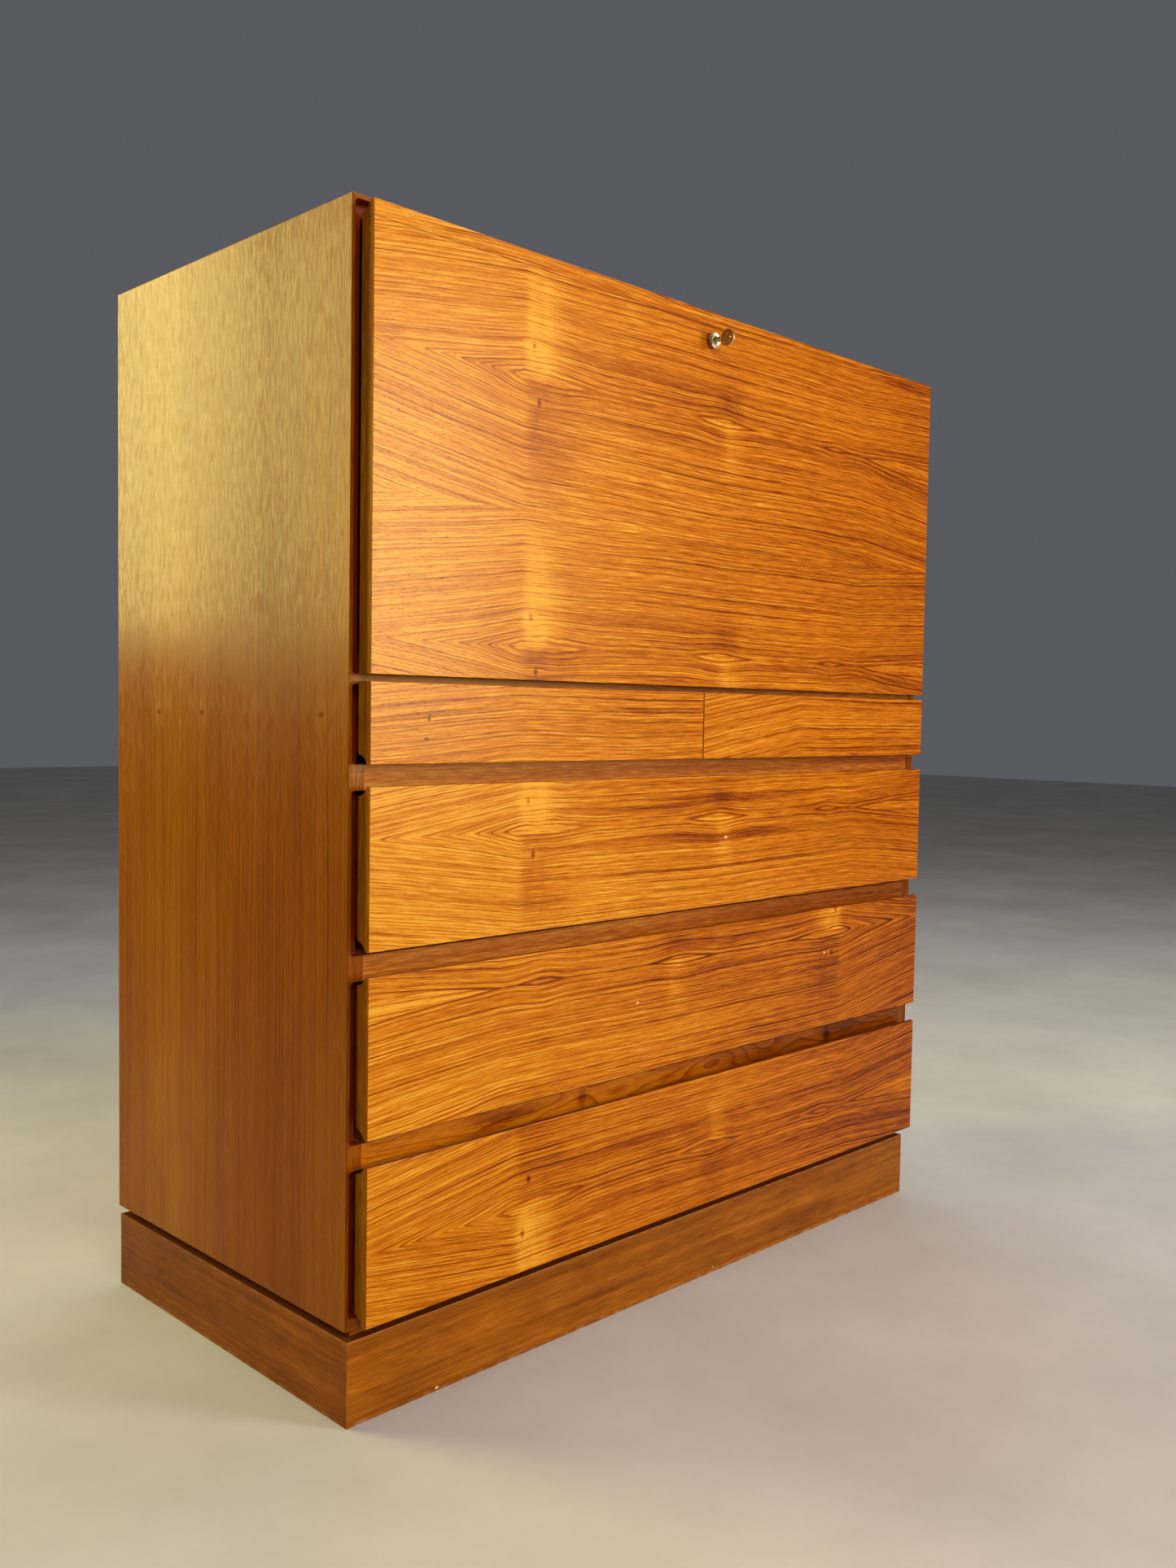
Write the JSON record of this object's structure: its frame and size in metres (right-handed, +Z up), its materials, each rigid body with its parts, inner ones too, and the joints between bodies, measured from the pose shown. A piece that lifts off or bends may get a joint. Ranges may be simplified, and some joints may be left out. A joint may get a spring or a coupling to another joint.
{
  "type": "secretary desk",
  "caption": "Drop-front teak secretary desk on a plinth: a lockable fall flap over pigeonholes, small paired drawers and wide drawers below.",
  "frame": {"origin": "middle of the overall footprint, on the floor", "axes": "+X to the right along the front, +Y towards the back, +Z up"},
  "size_m": [0.99, 0.524, 1.18],
  "materials": {
    "teak_carcass": "satin oiled teak veneer, straight upright grain, straw to orange-brown",
    "teak_front": "satin oiled crown-cut teak veneer, level grain with dark growth lines and shimmering bands",
    "teak_plinth": "satin oiled teak, level grain, darker brown",
    "teak_rail": "satin teak lipping, level grain",
    "teak_inside": "satin teak veneer, plainer inside",
    "pale_wood": "bare planed hardwood and plywood",
    "brass": "aged brown brass",
    "nickel": "worn nickel plate",
    "steel": "plain brushed steel"
  },
  "bodies": {
    "carcass": {"side_left": "teak_carcass", "side_right": "teak_carcass", "top_panel": "teak_carcass", "bottom_panel": "teak_inside", "back_panel": "teak_inside", "desk_floor": "teak_inside", "upper_rail": "teak_rail", "drawer_rail_1": "teak_rail", "drawer_rail_2": "teak_rail", "drawer_rail_3": "teak_rail", "drawer_divider": "pale_wood", "runners_left": "pale_wood", "runners_right": "pale_wood", "runners_divider": "pale_wood", "plinth_front": "teak_plinth", "plinth_back": "teak_plinth", "plinth_left": "teak_plinth", "plinth_right": "teak_plinth", "spacer_strips": "teak_plinth", "plinth_corner_blocks": "pale_wood", "pigeonhole_sides": "teak_inside", "pigeonhole_shelf": "teak_inside", "upper_dividers": "teak_inside", "lower_dividers": "teak_inside", "flap_stops": "teak_inside", "hinge_brackets": "brass", "hinge_pins": "steel", "guide_mounts": "nickel", "strike_plate": "brass", "carcass_screws": "steel"},
    "flap": {"flap_panel": "teak_front", "flap_lipping": "teak_front", "hinge_leaves": "brass", "stay_brackets": "nickel", "lock_case": "steel", "lock_barrel": "nickel", "flap_screws": "steel"},
    "lock_plug": {"lock_plug": "nickel"},
    "key": {"key": "brass"},
    "bolt": {"lock_bolt": "steel"},
    "stay_left": {"stay_bar_left": "steel"},
    "guide_left": {"stay_guide_left": "nickel"},
    "stay_right": {"stay_bar_right": "steel"},
    "guide_right": {"stay_guide_right": "nickel"},
    "small_drawer_left": {"small_left_front": "teak_front", "small_left_box": "pale_wood", "small_left_bottom": "pale_wood"},
    "small_drawer_right": {"small_right_front": "teak_front", "small_right_box": "pale_wood", "small_right_bottom": "pale_wood"},
    "large_drawer_1": {"drawer_1_front": "teak_front", "drawer_1_box": "pale_wood", "drawer_1_bottom": "pale_wood"},
    "large_drawer_2": {"drawer_2_front": "teak_front", "drawer_2_box": "pale_wood", "drawer_2_bottom": "pale_wood"},
    "large_drawer_3": {"drawer_3_front": "teak_front", "drawer_3_box": "pale_wood", "drawer_3_bottom": "pale_wood"}
  },
  "joints": [
    {"name": "flap_fall", "type": "hinge", "parent": "carcass", "child": "flap", "pos_m": [0, -0.21805, 0.74325], "axis": [1, 0, 0], "range_deg": [0, 90]},
    {"name": "stay_swing_left", "type": "hinge", "parent": "flap", "child": "stay_left", "pos_m": [-0.469, -0.2003, 0.98325], "axis": [1, 0, 0], "range_deg": [-45, 0]},
    {"name": "guide_swivel_left", "type": "hinge", "parent": "carcass", "child": "guide_left", "pos_m": [-0.473, -0.14277, 0.97183], "axis": [1, 0, 0], "range_deg": [0, 45]},
    {"name": "stay_swing_right", "type": "hinge", "parent": "flap", "child": "stay_right", "pos_m": [0.469, -0.2003, 0.98325], "axis": [1, 0, 0], "range_deg": [-45, 0]},
    {"name": "guide_swivel_right", "type": "hinge", "parent": "carcass", "child": "guide_right", "pos_m": [0.473, -0.14277, 0.97183], "axis": [1, 0, 0], "range_deg": [0, 45]},
    {"name": "key_turn", "type": "hinge", "parent": "flap", "child": "lock_plug", "pos_m": [0, -0.233, 1.139], "axis": [0, -1, 0], "range_deg": [0, 90]},
    {"name": "key_withdraw", "type": "slide", "parent": "lock_plug", "child": "key", "axis": [0, -1, 0], "range_m": [0, 0.03]},
    {"name": "bolt_throw", "type": "slide", "parent": "flap", "child": "bolt", "axis": [0, 0, 1], "range_m": [0, 0.01]},
    {"name": "small_drawer_left_slide", "type": "slide", "parent": "carcass", "child": "small_drawer_left", "axis": [0, -1, 0], "range_m": [0, 0.32]},
    {"name": "small_drawer_right_slide", "type": "slide", "parent": "carcass", "child": "small_drawer_right", "axis": [0, -1, 0], "range_m": [0, 0.32]},
    {"name": "large_drawer_1_slide", "type": "slide", "parent": "carcass", "child": "large_drawer_1", "axis": [0, -1, 0], "range_m": [0, 0.32]},
    {"name": "large_drawer_2_slide", "type": "slide", "parent": "carcass", "child": "large_drawer_2", "axis": [0, -1, 0], "range_m": [0, 0.32]},
    {"name": "large_drawer_3_slide", "type": "slide", "parent": "carcass", "child": "large_drawer_3", "axis": [0, -1, 0], "range_m": [0, 0.32]}
  ],
  "couplings": [
    {"joint": "bolt_throw", "follows": "key_turn", "m_per_rad": 0.0063662},
    {"joint": "stay_swing_left", "follows": "flap_fall", "ratio": -0.5},
    {"joint": "guide_swivel_left", "follows": "flap_fall", "ratio": 0.5},
    {"joint": "stay_swing_right", "follows": "flap_fall", "ratio": -0.5},
    {"joint": "guide_swivel_right", "follows": "flap_fall", "ratio": 0.5}
  ]
}
